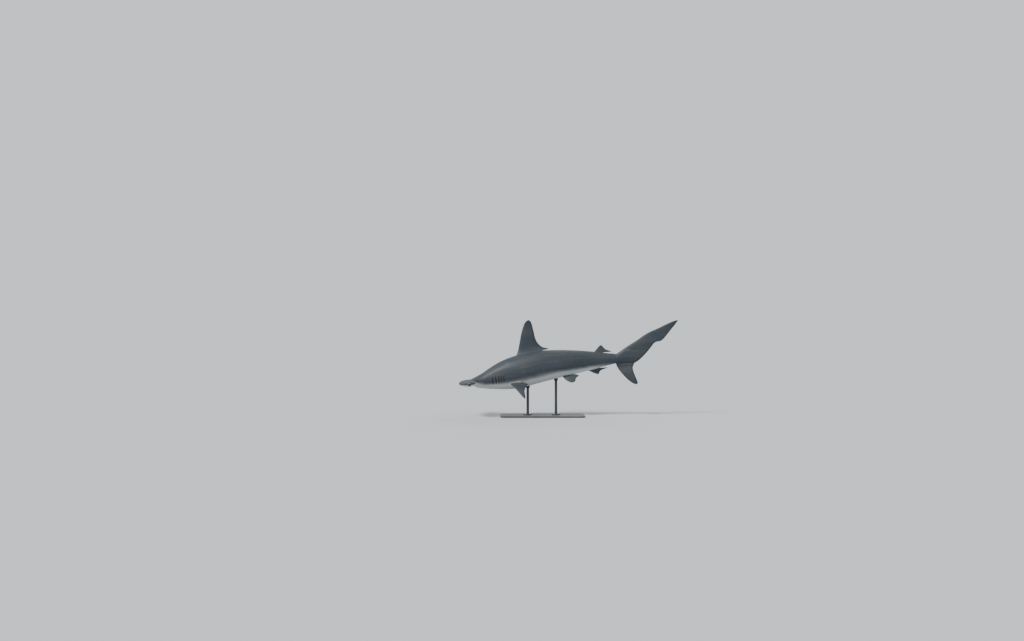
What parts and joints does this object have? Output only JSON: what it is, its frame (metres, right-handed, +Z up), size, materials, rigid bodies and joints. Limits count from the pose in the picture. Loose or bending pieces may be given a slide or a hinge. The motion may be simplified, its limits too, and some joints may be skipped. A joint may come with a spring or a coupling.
{
  "type": "hammerhead shark model",
  "caption": "Life-size scalloped hammerhead shark, swimming slightly nose down, held by short rods on a flat steel base.",
  "frame": {"origin": "middle of the underside of the stand's base, on the floor", "axes": "+Z up, +X from the shark's nose to its tail, so the shark's left flank faces -Y"},
  "size_m": [2.3818, 0.756, 1.0554],
  "materials": {
    "skin": "fine matt denticle skin, grey above and near white below",
    "eye": "glossy",
    "stand_steel": "satin dark grey powder coat"
  },
  "bodies": {
    "root": {"head": "skin", "neck": "skin", "torso": "skin", "tail": "skin", "dorsal_fin_first": "skin", "dorsal_fin_second": "skin", "pectoral_fin_left": "skin", "pectoral_fin_right": "skin", "pelvic_fin_left": "skin", "pelvic_fin_right": "skin", "anal_fin": "skin", "caudal_fin_upper": "skin", "caudal_fin_lower": "skin", "eye_left": "eye", "eye_right": "eye", "stand_base": "stand_steel", "stand_rod_front": "stand_steel", "stand_rod_rear": "stand_steel"}
  },
  "joints": []
}
